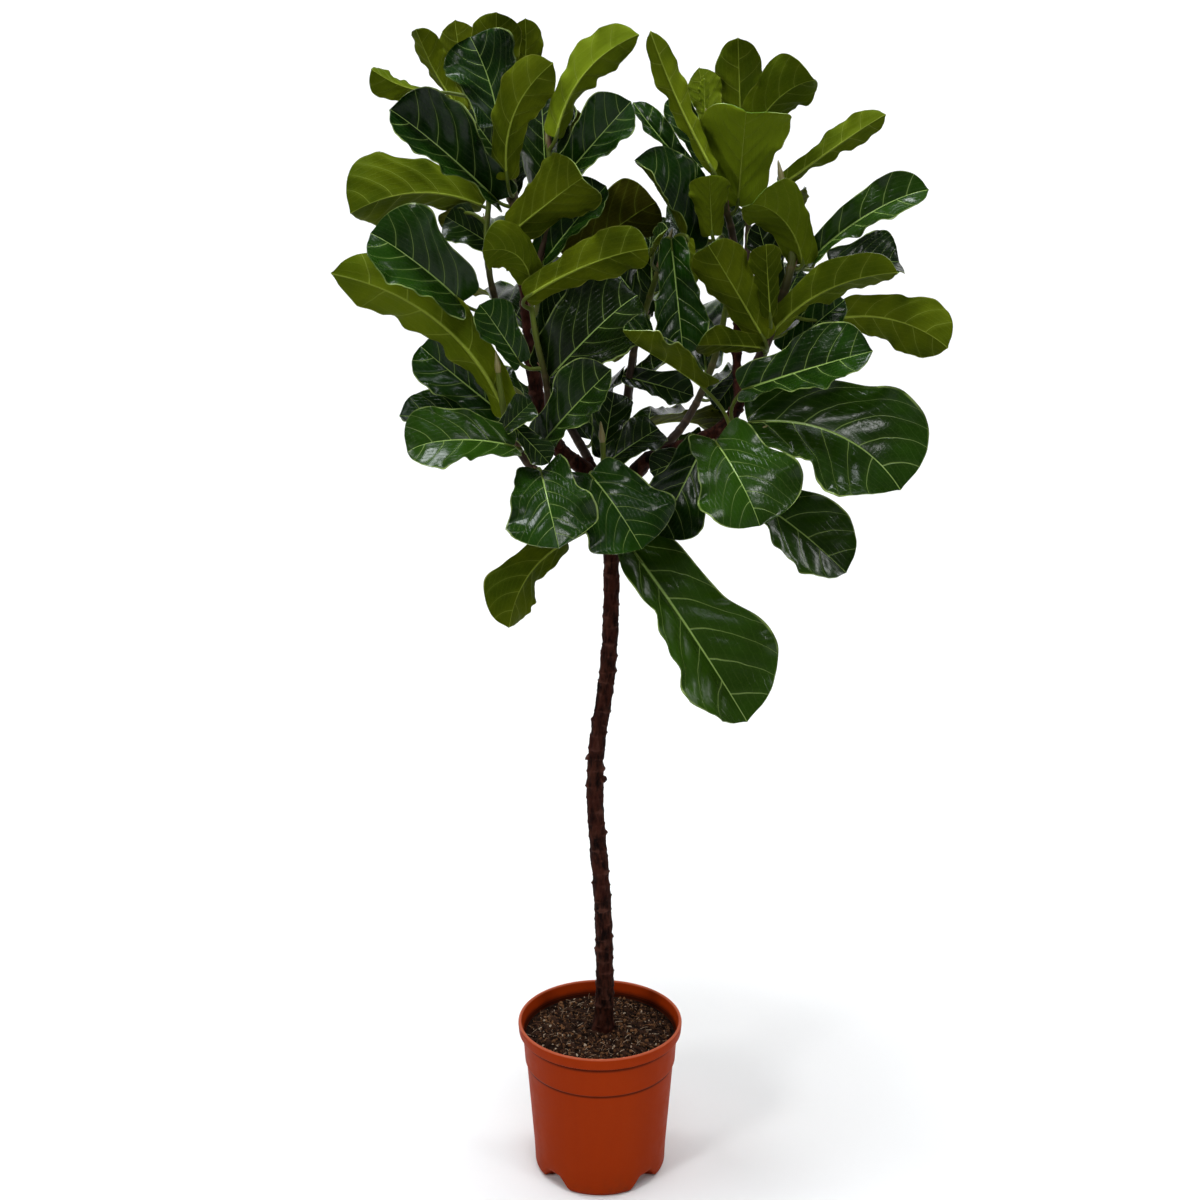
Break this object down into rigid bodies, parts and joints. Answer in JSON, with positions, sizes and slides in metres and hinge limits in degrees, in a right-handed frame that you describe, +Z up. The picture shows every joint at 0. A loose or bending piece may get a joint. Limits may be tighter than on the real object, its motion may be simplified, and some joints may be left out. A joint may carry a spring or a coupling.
{
  "type": "potted fiddle leaf fig",
  "caption": "Fiddle leaf fig grown as a standard: bare woody stem, forked crown of large violin-shaped leaves, in a round plastic nursery pot with drain notches",
  "frame": {"origin": "centre of the pot's flat bottom, on the floor", "axes": "+Z up along the pot's axis; -Y is the side that faces the viewer of the picture, +X is the viewer's right"},
  "size_m": [0.8117, 0.5422, 1.6231],
  "materials": {
    "terracotta_plastic": "satin terracotta-coloured plastic",
    "potting_mix": "damp dark-brown potting mix, matte",
    "bark": "dark brown bark with raised leaf scars, matte",
    "leaf_green": "leathery green leaf, glossy above and matte below"
  },
  "bodies": {
    "root": {"pot": "terracotta_plastic", "soil": "potting_mix", "trunk": "bark", "shoot_left_top": "leaf_green", "shoot_left_inner": "leaf_green", "shoot_left_mid": "leaf_green", "shoot_left_low": "leaf_green", "shoot_front_centre": "leaf_green", "shoot_centre": "leaf_green", "shoot_right_main": "leaf_green", "shoot_right_top": "leaf_green", "shoot_right_tall": "leaf_green", "shoot_right_low": "leaf_green", "shoot_skirt": "leaf_green", "shoot_back_left": "leaf_green", "shoot_back_centre": "leaf_green", "shoot_back_right": "leaf_green"}
  },
  "joints": []
}
